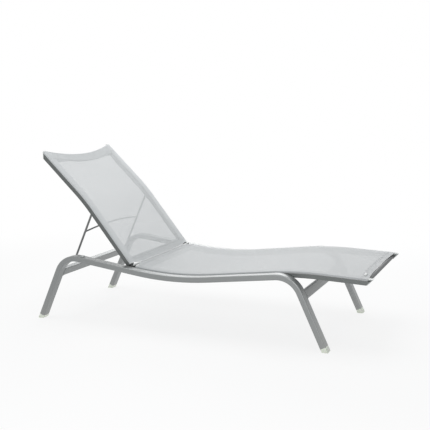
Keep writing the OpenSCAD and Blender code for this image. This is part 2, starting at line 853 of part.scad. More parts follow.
// Hinge forks: a plug in the back rail with two cheeks around the eye
module cheek(from, to) {
    pin(2 * eye_r, from, to);
    block([-back_start + flange_t, -neck_h, from], [0, neck_h, to]);
}
module back_hinge_forks() {
    color("black") pair() stand()
        at([hinge.x, hinge.y, -back_slope])
            difference() {
                union() {
                    block([-back_start - plug_len, plug_low, plug_in],
                        [-back_start, plug_high, plug_out]);
                    block([-back_start, -rail_h / 2, rail_in],
                        [-back_start + flange_t, rail_h / 2 - rail_top_r, rail_out]);
                    cheek(cheek_in - cheek_t, cheek_in);
                    cheek(cheek_out, cheek_out + cheek_t);
                }
                pin(bolt_d + 2 * bolt_play, rail_in - over, rail_out + over);
                pin(nut_d + 2 * nut_play, cheek_out + cheek_t - nut_t, rail_out + over, 6);
                translate([-low_spreader_at, -spreader_drop, 0])
                    pin(screw_d + 2 * screw_play, rail_in - over, rail_out + over);
            }
}
module hinge_bolts() {
    color("silver") pair() stand() at([hinge.x, hinge.y, -back_slope]) {
        pin(bolt_head_d, cheek_in - cheek_t - bolt_head_t, cheek_in - cheek_t);
        pin(bolt_d, cheek_in - cheek_t, cheek_out + cheek_t);
    }
}
module hinge_nuts() {
    color("silver") pair() stand() at([hinge.x, hinge.y, -back_slope])
        difference() {
            pin(nut_d, cheek_out + cheek_t - nut_t, cheek_out + cheek_t, 6);
            pin(bolt_d + bolt_play, cheek_out, rail_out + over);
        }
}

// Spreaders of the backrest
module back_top_spreader() {
    color("lightgray") spreader(back_at(top_spreader_at));
}
module back_bottom_spreader() {
    color("lightgray") spreader(back_at(low_spreader_at));
}
module back_spreader_plugs() {
    color("black") {
        spreader_plug(back_at(top_spreader_at));
        spreader_plug(back_at(low_spreader_at));
    }
}
module back_spreader_screws() {
    color("silver") {
        spreader_screw(back_at(top_spreader_at));
        spreader_screw(back_at(low_spreader_at));
    }
}

// Notched racks on the inner faces of the back rails
module notch_racks() {
    color("darkgray") pair() stand()
        difference() {
            sweep([back_at(rack_end), back_corner, back_at(rack_start)], back_r)
                span_box(rack_low, rack_high, rack_in, rail_in);
            for (k = [0:notch_count - 1])
                at(back_at(bail_reach + k * notch_pitch)) translate([0, -bail_back, 0]) {
                    pin(notch_w, rack_in - over, rail_in + over);
                    block([-notch_w / 2, -rail_h, rack_in - over],
                        [notch_w / 2, 0, rail_in + over]);
                }
            for (k = [0:notch_count - 2])
                at(back_at(bail_reach + (k + 0.5) * notch_pitch))
                    translate([0, rack_screw_rise, 0]) {
                        pin(rack_screw_d, rack_in - over, rail_in + over);
                        translate([0, 0, rack_in])
                            cylinder(h = rack_screw_head_t, d1 = rack_screw_head_d,
                                d2 = rack_screw_d, $fn = round_fn);
                    }
        }
}
module rack_screws() {
    color("silver") pair() stand()
        for (k = [0:notch_count - 2])
            at(back_at(bail_reach + (k + 0.5) * notch_pitch))
                translate([0, rack_screw_rise, 0]) {
                    pin(rack_screw_d, rack_in + rack_screw_head_t, rail_in + 2 * rail_wall);
                    translate([0, 0, rack_in])
                        cylinder(h = rack_screw_head_t, d1 = rack_screw_head_d,
                            d2 = rack_screw_d, $fn = round_fn);
                }
}

// Bail: two bent rods, an arched cross rod, spacer sleeves and clips
module at_bail() {
    at([bail_foot.x, bail_foot.y, bail_a]) children();
}
module bail_rod() {
    translate([bail_bend_r, 0, bail_y])
        rotate([0, 90, 0])
            cylinder(h = bail_len + bail_over - bail_bend_r, d = bail_d, $fn = round_fn);
}
module bail_leg() {
    at_bail() {
        bail_rod();
        translate([bail_bend_r, 0, bail_y + bail_bend_r])
            rotate([90, 0, 0])
                rotate([0, 0, 180])
                    rotate_extrude(angle = 90, $fn = bend_fn)
                        translate([bail_bend_r, 0]) circle(d = bail_d, $fn = round_fn);
        pin(bail_d, bail_y + bail_bend_r, bail_y + bail_tip);
        translate([bail_len, 0, 0])
            pin(peg_d, bail_y, rack_in - peg_gap);
    }
}
module bail_leg_right() {
    color("dimgray") stand() bail_leg();
}
module bail_leg_left() {
    color("dimgray") far() stand() bail_leg();
}
module bail_cross_rod() {
    r = (bail_y * bail_y + cross_rod_rise * cross_rod_rise) / (2 * cross_rod_rise);
    half = asin(bail_y / r);
    color("dimgray") stand() at_bail()
        difference() {
            translate([cross_rod_at + cross_rod_rise - r, 0, 0])
                rotate([90, 0, 0])
                    rotate([0, 0, -half])
                        rotate_extrude(angle = 2 * half, $fn = long_fn)
                            translate([r, 0]) circle(d = cross_rod_d, $fn = round_fn);
            bail_rod();
            mirror([0, 0, 1]) bail_rod();
        }
}
module bail_spacer_sleeves() {
    color("black") pair() stand() at_bail()
        difference() {
            pin(sleeve_d, bail_y + bail_bend_r + sleeve_gap,
                tube_in - bush_flange_t - sleeve_gap);
            pin(bail_d + 2 * bush_play, bail_y, tube_in);
        }
}
module bail_clips() {
    color("silver") pair() stand() at_bail()
        difference() {
            pin(clip_d, tube_in + bush_len + sleeve_gap, tube_in + bush_len + sleeve_gap + clip_t);
            pin(bail_d, tube_in, tube_in + bush_len + 2 * bush_len);
        }
}

side_frame_right();
side_frame_left();
rear_cross_bar();
front_cross_bar();
leg_glides();
seat_rail_right();
seat_rail_left();
seat_rail_end_caps();
seat_rail_bolts();
seat_rail_spacers();
rivet_nuts();
foot_spreader();
hinge_spreader();
seat_spreader_plugs();
seat_spreader_screws();
seat_sling();
seat_edge_cords();
seat_hinge_knuckles();
bail_bushes();
bail_stops();
back_rail_right();
back_rail_left();
back_rail_end_caps();
back_hinge_forks();
hinge_bolts();
hinge_nuts();
back_top_spreader();
back_bottom_spreader();
back_spreader_plugs();
back_spreader_screws();
back_sling();
back_edge_cords();
notch_racks();
rack_screws();
bail_leg_right();
bail_leg_left();
bail_cross_rod();
bail_spacer_sleeves();
bail_clips();
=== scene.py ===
# %% [markdown]
# # A sling sun lounger
# The metal parts of this lounger come finished from the CAD model: two bent side tubes,
# two cross bars, the grooved rails, the folding bail and its notched racks. They stay as
# they are and get better finishes here. The cloth is another matter: a sling is a thin
# woven mesh under tension, so both slings are modelled again as real sheets, with hems,
# seams and a sewn tag. This lesson goes from the frame to the camera, the finishes, the
# cloth and the small parts, one step at a time.

# %% Load the frame
import json
import math
from functools import partial

import bmesh
import bpy
from mathutils import Matrix, Vector


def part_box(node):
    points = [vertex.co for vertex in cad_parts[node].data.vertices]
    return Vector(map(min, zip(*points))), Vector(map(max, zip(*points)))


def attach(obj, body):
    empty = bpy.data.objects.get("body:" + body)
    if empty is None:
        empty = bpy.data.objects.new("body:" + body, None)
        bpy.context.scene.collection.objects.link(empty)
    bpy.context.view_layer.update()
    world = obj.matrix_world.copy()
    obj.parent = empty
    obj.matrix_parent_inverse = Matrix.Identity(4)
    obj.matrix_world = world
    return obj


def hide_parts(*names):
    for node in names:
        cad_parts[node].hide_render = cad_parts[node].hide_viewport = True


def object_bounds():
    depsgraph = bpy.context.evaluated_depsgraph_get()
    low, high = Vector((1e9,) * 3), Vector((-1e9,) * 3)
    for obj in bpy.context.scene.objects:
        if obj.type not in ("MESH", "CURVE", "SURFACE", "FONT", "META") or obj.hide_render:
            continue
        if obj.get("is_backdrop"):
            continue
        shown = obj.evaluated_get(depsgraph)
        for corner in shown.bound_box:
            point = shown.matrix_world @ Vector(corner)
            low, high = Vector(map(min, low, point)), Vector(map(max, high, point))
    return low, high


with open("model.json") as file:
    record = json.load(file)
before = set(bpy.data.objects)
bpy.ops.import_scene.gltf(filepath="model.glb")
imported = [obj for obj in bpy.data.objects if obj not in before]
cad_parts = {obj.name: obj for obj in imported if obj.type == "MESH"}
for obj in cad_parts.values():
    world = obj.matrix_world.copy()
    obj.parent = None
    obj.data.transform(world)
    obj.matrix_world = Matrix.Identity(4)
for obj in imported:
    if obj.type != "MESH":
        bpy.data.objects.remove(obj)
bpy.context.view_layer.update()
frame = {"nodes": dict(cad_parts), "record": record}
scene = bpy.context.scene

# %% [markdown]
# The camera comes first, so that every later step can be looked at from the same place.
# The photograph was taken from the foot end, a little above the seat, with a long lens,
# which keeps the far legs almost as large as the near ones. The camera is set by three
# angles and one point, because these can be read off the picture one by one.

# %% Camera
CAMERA_AT = Vector((1.52464, -3.4944, 1.1030))
YAW, PITCH, ROLL = (math.radians(a) for a in (23.76, 8.57, -0.67))
LENS, SENSOR, SEES_TO = 63.7, 36, 60
forward = Vector((-math.sin(YAW) * math.cos(PITCH), math.cos(YAW) * math.cos(PITCH),
                  -math.sin(PITCH)))
level = Vector((math.cos(YAW), math.sin(YAW), 0))
lift = level.cross(forward)
right = math.cos(ROLL) * level + math.sin(ROLL) * lift
upward = -math.sin(ROLL) * level + math.cos(ROLL) * lift
turned = Matrix((right, upward, -forward)).transposed().to_4x4()
camera = bpy.data.objects.new("camera", bpy.data.cameras.new("camera"))
scene.collection.objects.link(camera)
camera.matrix_world = Matrix.Translation(CAMERA_AT) @ turned
camera.data.lens = LENS
camera.data.sensor_width = SENSOR
camera.data.clip_end = SEES_TO
scene.camera = camera
scene.view_settings.view_transform = "Standard"
print("camera at", [round(v, 3) for v in CAMERA_AT], "lens", LENS)

# %% [markdown]
# Every finish from here on is a net of nodes. Nodes can be joined by hand in the editor,
# which is fine for one material, but this lounger has more than ten that share the same
# parts. So a few small helpers do what repeats: they set inputs by name, join outputs to
# inputs, add one step of arithmetic, and start an empty material.

# %% Node helpers
def sockets(node, **values):
    """Sets a node's inputs by name, with _ for each space."""
    for name, value in values.items():
        node.inputs[name.replace("_", " ")].default_value = value
    return node


def wire(links, *pairs):
    """Joins each output to its input."""
    for source, target in pairs:
        links.new(source, target)


def maths(tree, operation, *values):
    """One step of arithmetic on numbers and outputs of other nodes."""
    node = tree.nodes.new("ShaderNodeMath")
    node.operation = operation
    for value, socket in zip(values, node.inputs):
        if isinstance(value, (int, float)):
            socket.default_value = value
        else:
            tree.links.new(value, socket)
    return node.outputs[0]


def vector_maths(tree, operation, vector):
    """One step of arithmetic on a vector; its second value is set by the caller."""
    node = tree.nodes.new("ShaderNodeVectorMath")
    node.operation = operation
    tree.links.new(vector, node.inputs[0])
    return node


def new_material(name):
    """An empty material with its nodes and links."""
    material = bpy.data.materials.new(name)
    material.use_nodes = True
    material.node_tree.nodes.clear()
    return material, material.node_tree.nodes, material.node_tree.links


print("helpers:", [h.__name__ for h in (sockets, wire, maths, vector_maths, new_material)])

# %% [markdown]
# A photo studio hides its horizon with a curved sheet of paper. Here the floor is a flat
# disc, because a part needs only the floor it stands on: near the lounger it is matt
# white and keeps the soft shadow, and further out it fades into pure white.

# %% Floor
FLOOR_RADIUS, FLOOR_WHITE = 14, (0.93, 0.93, 0.93, 1)
PURE_WHITE = (1, 1, 1, 1)
bpy.ops.mesh.primitive_circle_add(vertices=96, radius=FLOOR_RADIUS, fill_type="NGON",
                                  location=(0, 0, 0))
floor = bpy.context.object
floor.name = "studio_floor"
floor_paint, nodes, links = new_material("studio floor")
place = nodes.new("ShaderNodeTexCoord")
reach = vector_maths(floor_paint.node_tree, "LENGTH", place.outputs["Object"])
fade = nodes.new("ShaderNodeMapRange")
fade.interpolation_type = "SMOOTHSTEP"
sockets(fade, From_Min=1.6, From_Max=3.2, To_Min=0.8, To_Max=1.0)
matt = sockets(nodes.new("ShaderNodeBsdfDiffuse"), Color=FLOOR_WHITE)
glow = sockets(nodes.new("ShaderNodeEmission"), Color=PURE_WHITE, Strength=1.0)
mixed = nodes.new("ShaderNodeMixShader")
out = nodes.new("ShaderNodeOutputMaterial")
wire(links, (reach.outputs["Value"], fade.inputs["Value"]),
     (fade.outputs["Result"], mixed.inputs[0]), (matt.outputs[0], mixed.inputs[1]),
     (glow.outputs[0], mixed.inputs[2]), (mixed.outputs[0], out.inputs["Surface"]))
floor.data.materials.append(floor_paint)
floor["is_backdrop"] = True
print("floor:", FLOOR_RADIUS, "m in radius")

# %% [markdown]
# The light is that of a catalogue studio: a broad soft lamp overhead, one behind that
# runs a light edge along the far parts, and a small weak one in front. The camera and
# the reflections see a white room, but the room itself lights the lounger only a little.
# One bright world would be simpler, but it would wash the shadows out.

# %% World and lamps
def area_lamp(name, place, aim, size, power):
    """A rectangular soft lamp at a place, turned towards an aim."""
    lamp = bpy.data.lights.new(name, "AREA")
    lamp.shape, lamp.size, lamp.size_y = "RECTANGLE", size[0], size[1]
    lamp.energy = power
    thing = bpy.data.objects.new(name, lamp)
    thing.location = place
    thing.rotation_euler = (Vector(aim) - Vector(place)).to_track_quat("-Z", "Y").to_euler()
    scene.collection.objects.link(thing)


world = bpy.data.worlds.new("studio")
scene.world = world
world.use_nodes = True
nodes, links = world.node_tree.nodes, world.node_tree.links
nodes.clear()
path = nodes.new("ShaderNodeLightPath")
seen = maths(world.node_tree, "MAXIMUM", path.outputs["Is Camera Ray"],
             path.outputs["Is Glossy Ray"])
seen = maths(world.node_tree, "MAXIMUM", seen, path.outputs["Is Transmission Ray"])
white = sockets(nodes.new("ShaderNodeBackground"), Color=PURE_WHITE, Strength=1.0)
soft = sockets(nodes.new("ShaderNodeBackground"), Color=(0.97, 0.985, 1, 1), Strength=0.5)
mixed = nodes.new("ShaderNodeMixShader")
out = nodes.new("ShaderNodeOutputWorld")
wire(links, (seen, mixed.inputs[0]), (soft.outputs[0], mixed.inputs[1]),
     (white.outputs[0], mixed.inputs[2]), (mixed.outputs[0], out.inputs["Surface"]))

area_lamp("overhead_softbox", (-0.45, 0.1, 3.1), (0, 0, 0.2), (2.6, 2.2), 36)
area_lamp("back_softbox", (-0.4, 3.3, 1.9), (0, 0, 0.3), (3.4, 1.5), 42)
area_lamp("front_softbox", (0.7, -3.3, 0.95), (-0.2, 0, 0.3), (1.6, 1.0), 26)

# %% [markdown]
# Metal paint, plastic and cloth all share two things: a very fine grain, and a slow
# drift of tone over the surface. They could be drawn anew in each material. It is better
# to make them once, as a shader node group with named inputs, and to let every finish
# call it with its own numbers.

# %% Surface grain group
def node_group(name, kind, inputs, outputs):
    """An empty node group with named sockets, and its two end nodes."""
    group = bpy.data.node_groups.new(name, kind)
    for label, sort, value in inputs:
        socket = group.interface.new_socket(label, in_out="INPUT", socket_type="NodeSocket" + sort)
        if value is not None:
            socket.default_value = value
    for label, sort in outputs:
        group.interface.new_socket(label, in_out="OUTPUT", socket_type="NodeSocket" + sort)
    return group, group.nodes.new("NodeGroupInput"), group.nodes.new("NodeGroupOutput")


def noise(tree, vector, detail, roughness, scale=1.0):
    """A cloudy pattern around 0.5."""
    node = sockets(tree.nodes.new("ShaderNodeTexNoise"), Scale=scale, Detail=detail,
                   Roughness=roughness)
    tree.links.new(vector, node.inputs["Vector"])
    return node


grain, given, put = node_group(
    "surface grain", "ShaderNodeTree",
    [("Vector", "Vector", None), ("Colour", "Color", (0.5, 0.5, 0.5, 1)),
     ("Grain Size", "Float", 0.0008), ("Patch Size", "Float", 0.2),
     ("Colour Drift", "Float", 0.06), ("Roughness", "Float", 0.4),
     ("Roughness Drift", "Float", 0.08)],
    [("Colour", "Color"), ("Roughness", "Float"), ("Height", "Float")])
SPECK_SHARE, TONE_SWING = 0.6, 2.0
calc = partial(maths, grain)
fine = noise(grain, given.outputs["Vector"], detail=3.0, roughness=0.6)
broad = noise(grain, given.outputs["Vector"], detail=4.0, roughness=0.55)
wire(grain.links, (calc("DIVIDE", 1.0, given.outputs["Grain Size"]), fine.inputs["Scale"]),
     (calc("DIVIDE", 1.0, given.outputs["Patch Size"]), broad.inputs["Scale"]))
drift = calc("SUBTRACT", broad.outputs["Fac"], 0.5)
speck = calc("SUBTRACT", fine.outputs["Fac"], 0.5)
tone = calc("MULTIPLY", calc("ADD", drift, calc("MULTIPLY", speck, SPECK_SHARE)),
            given.outputs["Colour Drift"])
shade = vector_maths(grain, "SCALE", given.outputs["Colour"])
rough = calc("MULTIPLY", calc("ADD", drift, speck), given.outputs["Roughness Drift"])
wire(grain.links, (calc("ADD", 1.0, calc("MULTIPLY", tone, TONE_SWING)), shade.inputs["Scale"]),
     (shade.outputs[0], put.inputs["Colour"]),
     (calc("ADD", given.outputs["Roughness"], rough), put.inputs["Roughness"]),
     (fine.outputs["Fac"], put.inputs["Height"]))
print("group:", grain.name, [s.name for s in grain.interface.items_tree])

# %% [markdown]
# Outdoor furniture picks up dust and scuffs near the ground. Painting them by hand would
# tie them to one piece, so a second group gives a mask instead, strongest at the floor
# and broken up with height. It is kept faint, because the lounger in the photograph
# is new.

# %% Ground dust group
dust, given, put = node_group(
    "ground dust", "ShaderNodeTree",
    [("Vector", "Vector", None), ("Height", "Float", 0.12), ("Amount", "Float", 0.3)],
    [("Mask", "Float")])
calc = partial(maths, dust)
apart = dust.nodes.new("ShaderNodeSeparateXYZ")
dust.links.new(given.outputs["Vector"], apart.inputs[0])
blotch = noise(dust, given.outputs["Vector"], detail=4.0, roughness=0.7, scale=70.0)
near_floor = calc("MAXIMUM", calc("SUBTRACT", 1.0, calc("DIVIDE", apart.outputs["Z"],
                                                       given.outputs["Height"])), 0.0)
mask = calc("MULTIPLY", calc("MULTIPLY", near_floor, blotch.outputs["Fac"]),
            given.outputs["Amount"])
dust.links.new(mask, put.inputs["Mask"])
print("group:", dust.name, [s.name for s in dust.interface.items_tree])

# %% [markdown]
# The frame is aluminium tube with a silver powder coat: metallic flakes in a clear
# binder, with the faint orange peel that powder leaves when it flows out. The rails are
# the same colour but smoother, since they are drawn through a die; their base is set
# darker than the frame's, as painted shade for their shaded outer faces. The bail is thin
# rod in a darker coat, and the spreader at the foot end is matt. One grey with one
# roughness would look like plastic, so the grain, a faint sparkle of flakes, the dust and
# a fine relief are laid over each other, by one function that the plastics use as well.

# %% Metal finishes
FLAKE_SCALE = 2600.0                    # flakes of about 0.4 mm


def placed(nodes, group, **values):
    """A shader group in a material, with the material's own values."""
    node = nodes.new("ShaderNodeGroup")
    node.node_tree = group
    return sockets(node, **values)


def grained_finish(name, skin, dirt, dirt_tone, relief, gloss, sparkle=0.0):
    """A material of grain, sparkle if it has any, dust near the floor and a fine relief."""
    material, nodes, links = new_material(name)
    place = nodes.new("ShaderNodeTexCoord").outputs["Object"]
    surface, dirty = placed(nodes, grain, **skin), placed(nodes, dust, **dirt)
    dusted = nodes.new("ShaderNodeMix")
    dusted.data_type = "RGBA"
    dusted.inputs["B"].default_value = dirt_tone
    bump = sockets(nodes.new("ShaderNodeBump"), **relief)
    shader = sockets(nodes.new("ShaderNodeBsdfPrincipled"), **gloss)
    out = nodes.new("ShaderNodeOutputMaterial")
    colour = surface.outputs["Colour"]
    if sparkle:
        flakes = sockets(nodes.new("ShaderNodeTexVoronoi"), Scale=FLAKE_SCALE)
        laid = nodes.new("ShaderNodeMix")
        laid.data_type, laid.blend_type = "RGBA", "OVERLAY"
        laid.inputs["Factor"].default_value = sparkle
        wire(links, (place, flakes.inputs["Vector"]), (colour, laid.inputs["A"]),
             (flakes.outputs["Color"], laid.inputs["B"]))
        colour = laid.outputs["Result"]
    wire(links, (place, surface.inputs["Vector"]), (place, dirty.inputs["Vector"]),
         (colour, dusted.inputs["A"]), (dirty.outputs["Mask"], dusted.inputs["Factor"]),
         (dusted.outputs["Result"], shader.inputs["Base Color"]),
         (surface.outputs["Roughness"], shader.inputs["Roughness"]),
         (surface.outputs["Height"], bump.inputs["Height"]),
         (bump.outputs["Normal"], shader.inputs["Normal"]),
         (shader.outputs["BSDF"], out.inputs["Surface"]))
    return material


def metal_finish(name, colour, roughness, grain_size, peel, metallic, dusty=0.0, coat=0.15):
    return grained_finish(
        name,
        dict(Colour=(*colour, 1), Grain_Size=grain_size, Patch_Size=0.22, Colour_Drift=0.05,
             Roughness=roughness, Roughness_Drift=0.1),
        dict(Height=0.14, Amount=dusty), (0.42, 0.41, 0.38, 1),
        dict(Strength=peel, Distance=0.0003),
        dict(Metallic=metallic, Coat_Weight=coat, Coat_Roughness=0.3), sparkle=0.06)


silver_powder_coat = metal_finish(
    "silver powder coat", (0.25, 0.26, 0.26), 0.39, grain_size=0.003, peel=0.06, metallic=0.85,
    dusty=0.3)
# Painted shade: the rails share the frame's colour, but their base is set darker to stand in for
# the shade on their outer faces.
rail_silver_painted_shade = metal_finish(
    "drawn rail silver painted darker", (0.15, 0.16, 0.158), 0.30, grain_size=0.0006, peel=0.05, metallic=0.9)
dark_rod_coat = metal_finish(
    "dark rod coat", (0.16, 0.165, 0.165), 0.42, grain_size=0.0007, peel=0.08, metallic=0.8)
matt_spreader_coat = metal_finish(
    "matt spreader coat", (0.14, 0.145, 0.146), 0.62, grain_size=0.0007, peel=0.08, metallic=0.4,
    coat=0.0)
zinc_plate = metal_finish(
    "zinc plate", (0.52, 0.53, 0.54), 0.28, grain_size=0.0004, peel=0.04, metallic=1.0, coat=0.0)
print("metals:", [m.name for m in (silver_powder_coat, rail_silver_painted_shade, dark_rod_coat,
                                   matt_spreader_coat, zinc_plate)])

# %% [markdown]
# The plastic parts are moulded, so they have a dull skin with a fine spark-eroded grain.
# The glides are different: they are cast in a soft, milky plastic that lets light into
# it, which is why they look slightly green in the photograph. A green paint would look
# dull there, so the glides get a little subsurface scattering instead.

# %% Plastic finishes
def plastic_finish(name, colour, roughness, grain_size=0.0006, depth=0.15, inner=0.0, dusty=0.0):
    return grained_finish(
        name,
        dict(Colour=(*colour, 1), Grain_Size=grain_size, Patch_Size=0.05, Colour_Drift=0.06,
             Roughness=roughness, Roughness_Drift=0.12),
        dict(Height=0.02, Amount=dusty), (0.30, 0.28, 0.22, 1),
        dict(Strength=depth, Distance=0.0002),
        dict(Subsurface_Weight=inner, Subsurface_Scale=0.006, Subsurface_Radius=(0.8, 1.0, 0.75)))


black_moulding = plastic_finish("black moulding", (0.018, 0.018, 0.019), 0.5)
grey_moulding = plastic_finish("grey moulding", (0.30, 0.31, 0.31), 0.5)
pale_cap = plastic_finish("pale cap", (0.50, 0.515, 0.51), 0.42)
milky_glide = plastic_finish("milky glide", (0.70, 0.745, 0.66), 0.32, grain_size=0.002,
                             depth=0.1, inner=0.35, dusty=0.5)
white_cord = plastic_finish("white cord", (0.78, 0.78, 0.76), 0.45)
print("plastics:", [m.name for m in (black_moulding, grey_moulding, pale_cap, milky_glide,
                                     white_cord)])

# %% [markdown]
# Each CAD part names the slot of its material: the side tubes are painted, the rails are
# drawn, the bolts are zinc plated. Giving 39 parts a finish one by one invites slips, so
# a table goes from slot to finish, and a second, short one holds the parts that look
# different from the rest of their slot.

# %% Finish every CAD part
FINISH_OF_SLOT = {
    "frame_paint": silver_powder_coat, "rail_aluminium": rail_silver_painted_shade,
    "bail_paint": dark_rod_coat, "cord_plastic": white_cord, "cap_plastic": pale_cap,
    "grey_plastic": grey_moulding, "black_plastic": black_moulding,
    "glide_plastic": milky_glide, "zinc_steel": zinc_plate,
}
# The spreader screws take the rails' darker finish, with its painted shade.
FINISH_OF_NODE = {
    "bail_stops": pale_cap, "foot_spreader": matt_spreader_coat,
    "seat_spreader_screws": rail_silver_painted_shade, "back_spreader_screws": rail_silver_painted_shade,
}
slot_of = {row["node"]: row["material_slot"] for row in frame["record"]["subparts"]}
finished = 0
for name, node in frame["nodes"].items():
    finish = FINISH_OF_NODE.get(name, FINISH_OF_SLOT.get(slot_of[name]))
    if finish is not None:
        node.data.materials.clear()
        node.data.materials.append(finish)
        for face in node.data.polygons:
            face.material_index = 0
        finished += 1
print("finished:", finished, "parts")

# %% [markdown]
# The sling is a plain weave of plastic-coated threads. Seen close, each thread goes over
# one and under the next, and a small hole stays open between them. Seen from afar the
# holes make the cloth slightly see-through. Modelling every thread would take millions of
# faces, so a group draws them: a cover that is open in the holes, and a height for the
# relief. The pattern follows the cloth's own map, laid out in metres, so the threads keep
# their size wherever the cloth bends. Along the cut edges the cloth is doubled and closed.

# %% Woven mesh group
THREAD_PITCH = 0.0014
CROWN, WAVE, MIDDLE = 0.5, 0.35, 0.5    # round back, over and under, and height of a thread
weave, given, put = node_group(
    "woven mesh", "ShaderNodeTree",
    [("Map", "Vector", None), ("Pitch", "Float", THREAD_PITCH), ("Thread Share", "Float", 0.7),
     ("Streak", "Float", 0.08), ("Cut Width", "Float", 10.0), ("Doubled Edge", "Float", 0.0)],
    [("Cover", "Float"), ("Height", "Float"), ("Tone", "Float")])
calc = partial(maths, weave)
cloth_map, pitch, share = (given.outputs[n] for n in ("Map", "Pitch", "Thread Share"))
apart = weave.nodes.new("ShaderNodeSeparateXYZ")
weave.links.new(cloth_map, apart.inputs[0])
across, along = (calc("DIVIDE", apart.outputs[axis], pitch) for axis in ("X", "Y"))


def from_middle(count):
    """How far a place is from the middle of its thread: 0 there, 1 half way to the next."""
    return calc("MULTIPLY", calc("ABSOLUTE", calc("SUBTRACT", calc("FRACT", count), 0.5)), 2.0)


def thread(off, other_off, on, over):
    """The height of one set of threads: round backs that go over and under the other set."""
    wave = calc("MULTIPLY", over, calc("COSINE", calc("MULTIPLY", other_off, math.pi / 2)))
    ratio = calc("DIVIDE", off, share)
    hollow = calc("SUBTRACT", 1.0, calc("MULTIPLY", ratio, ratio))
    crown = calc("MULTIPLY", calc("SQRT", calc("MAXIMUM", hollow, 0.0)), CROWN)
    raised = calc("ADD", calc("MULTIPLY", wave, WAVE), MIDDLE)
    return calc("MULTIPLY", on, calc("ADD", crown, raised))


off_a, off_b = from_middle(across), from_middle(along)
on_a, on_b = (calc("LESS_THAN", off, share) for off in (off_a, off_b))
squares = calc("ADD", calc("FLOOR", across), calc("FLOOR", along))
checker = calc("ABSOLUTE", calc("MODULO", squares, 2.0))
over_a = calc("SUBTRACT", calc("MULTIPLY", checker, 2.0), 1.0)
over_b = calc("MULTIPLY", over_a, -1.0)
height = calc("MAXIMUM", thread(off_a, off_b, on_a, over_a), thread(off_b, off_a, on_b, over_b))
far_edge = calc("SUBTRACT", given.outputs["Cut Width"], apart.outputs["X"])
doubled = calc("LESS_THAN", calc("MINIMUM", apart.outputs["X"], far_edge),
               given.outputs["Doubled Edge"])
cover = calc("MAXIMUM", calc("MAXIMUM", on_a, on_b), doubled)
print("group:", weave.name, len(weave.nodes), "nodes so far")

# %% [markdown]
# No two threads take the dye alike, so a real sling shows faint streaks both ways. They
# could be one noise for all, but that gives clouds. Two noises, each stretched along one
# set of threads, give streaks that run as the threads do.

# %% Streaks of the threads
WEFT_STRETCH, WARP_STRETCH = (6.0, 330.0, 1.0), (360.0, 9.0, 1.0)


def streaks(stretch):
    """A tone around 0 that changes quickly across one set of threads and slowly along it."""
    stretched = vector_maths(weave, "MULTIPLY", cloth_map)
    stretched.inputs[1].default_value = stretch
    cloudy = noise(weave, stretched.outputs[0], detail=3.0, roughness=0.7)
    return calc("SUBTRACT", cloudy.outputs["Fac"], 0.5)


both = calc("ADD", streaks(WEFT_STRETCH), streaks(WARP_STRETCH))
tone = calc("ADD", 1.0, calc("MULTIPLY", both, given.outputs["Streak"]))
wire(weave.links, (cover, put.inputs["Cover"]), (height, put.inputs["Height"]),
     (tone, put.inputs["Tone"]))
print("group:", weave.name, len(weave.nodes), "nodes")

# %% [markdown]
# The seat's mesh is closer than that of the back, through which the photograph shows the
# bail. Seat and back are the same cloth, but the back's colour is set lighter than the
# seat's: painted light, which evens out how the lamps light the two. A hem is the same
# cloth laid double, so no hole stays open; its colour is set lighter than its sheet's, as
# painted light over the shade it lies in under the sheet. All of them could be one
# material with a painted mask. Separate ones from one function keep each piece's numbers
# in plain sight.

# %% Cloth finishes
CLOTH_MAP = "threads"
CUT_WIDTH, DOUBLED_EDGE = 0.6564, 0.056
CLOSED = 1.0                            # a thread as wide as its pitch leaves no hole
NO_WIDTH = 10.0                         # wider than any piece, for cloth without a doubled edge


def cloth_finish(name, colour, share, pitch=THREAD_PITCH, streak=0.16, deep=0.25,
                 width=NO_WIDTH, edge=0.0):
    material, nodes, links = new_material(name)
    place = nodes.new("ShaderNodeUVMap")
    place.uv_map = CLOTH_MAP
    threads = placed(nodes, weave, Pitch=pitch, Thread_Share=share, Streak=streak,
                     Cut_Width=width, Doubled_Edge=edge)
    surface = placed(nodes, grain, Colour=(*colour, 1), Grain_Size=0.02, Patch_Size=0.35,
                     Colour_Drift=0.035, Roughness=0.52, Roughness_Drift=0.1)
    toned = vector_maths(material.node_tree, "SCALE", surface.outputs["Colour"])
    bump = sockets(nodes.new("ShaderNodeBump"), Strength=deep, Distance=0.0001)
    shader = sockets(nodes.new("ShaderNodeBsdfPrincipled"), Sheen_Weight=0.08, Sheen_Roughness=0.4)
    out = nodes.new("ShaderNodeOutputMaterial")
    wire(links, (place.outputs["UV"], threads.inputs["Map"]),
         (place.outputs["UV"], surface.inputs["Vector"]),
         (threads.outputs["Tone"], toned.inputs["Scale"]),
         (toned.outputs[0], shader.inputs["Base Color"]),
         (surface.outputs["Roughness"], shader.inputs["Roughness"]),
         (threads.outputs["Height"], bump.inputs["Height"]),
         (bump.outputs["Normal"], shader.inputs["Normal"]),
         (threads.outputs["Cover"], shader.inputs["Alpha"]),
         (shader.outputs["BSDF"], out.inputs["Surface"]))
    return material


# Painted light: seat and back are one cloth, and the back's colour is set lighter than the seat's
# to even out how the lamps light them.
seat_mesh_painted_darker = cloth_finish("silver seat mesh painted darker", (0.375, 0.391, 0.397), 0.80,
                         width=CUT_WIDTH, edge=DOUBLED_EDGE)
back_mesh_painted_lighter = cloth_finish("silver back mesh painted lighter", (0.48, 0.499, 0.506), 0.60,
                         width=CUT_WIDTH, edge=DOUBLED_EDGE)
